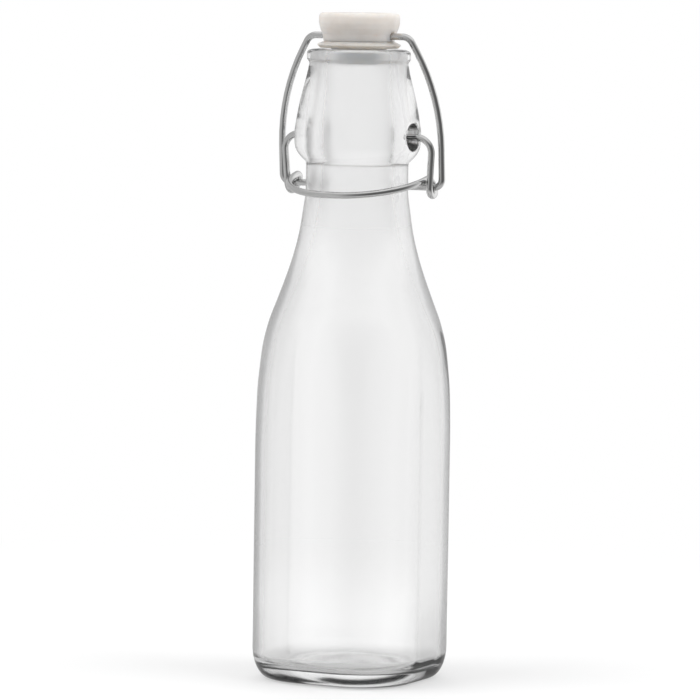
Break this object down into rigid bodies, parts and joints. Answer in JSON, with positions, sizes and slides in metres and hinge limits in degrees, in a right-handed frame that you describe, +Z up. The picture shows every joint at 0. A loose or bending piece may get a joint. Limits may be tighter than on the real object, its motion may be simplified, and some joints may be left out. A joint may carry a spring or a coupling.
{
  "type": "swing-top bottle",
  "caption": "Clear glass bottle with a square body and round neck, closed by a plastic stopper with a soft ring on a hinged steel wire swing-top.",
  "frame": {"origin": "centre of the foot, on the surface the bottle stands on", "axes": "+Z up along the neck, X along the lever's hinge line, -Y towards the lever's front arc"},
  "size_m": [0.0554, 0.054, 0.1995],
  "materials": {
    "clear_glass": "polished clear soda-lime glass",
    "stopper_plastic": "satin, milky and slightly translucent",
    "soft_ring": "satin silicone",
    "steel_wire": "bright drawn wire"
  },
  "bodies": {
    "bottle": {"bottle": "clear_glass"},
    "lever": {"lever_wire": "steel_wire"},
    "bail": {"upper_wire": "steel_wire"},
    "stopper": {"stopper": "stopper_plastic", "soft_ring": "soft_ring"}
  },
  "joints": [
    {"name": "lever_swing", "type": "hinge", "parent": "bottle", "child": "lever", "pos_m": [0, 0, 0.1628], "axis": [1, 0, 0], "range_deg": [-88, 0]},
    {"name": "upper_wire_swing", "type": "hinge", "parent": "lever", "child": "bail", "pos_m": [0, 0.0033, 0.148], "axis": [1, 0, 0], "range_deg": [0, 63.5]},
    {"name": "stopper_swing", "type": "hinge", "parent": "bail", "child": "stopper", "pos_m": [0, 0, 0.1925], "axis": [1, 0, 0], "range_deg": [0, 24.8]}
  ],
  "couplings": [
    {"joint": "upper_wire_swing", "follows": "lever_swing", "ratio": -0.72},
    {"joint": "stopper_swing", "follows": "lever_swing", "ratio": -0.28}
  ]
}
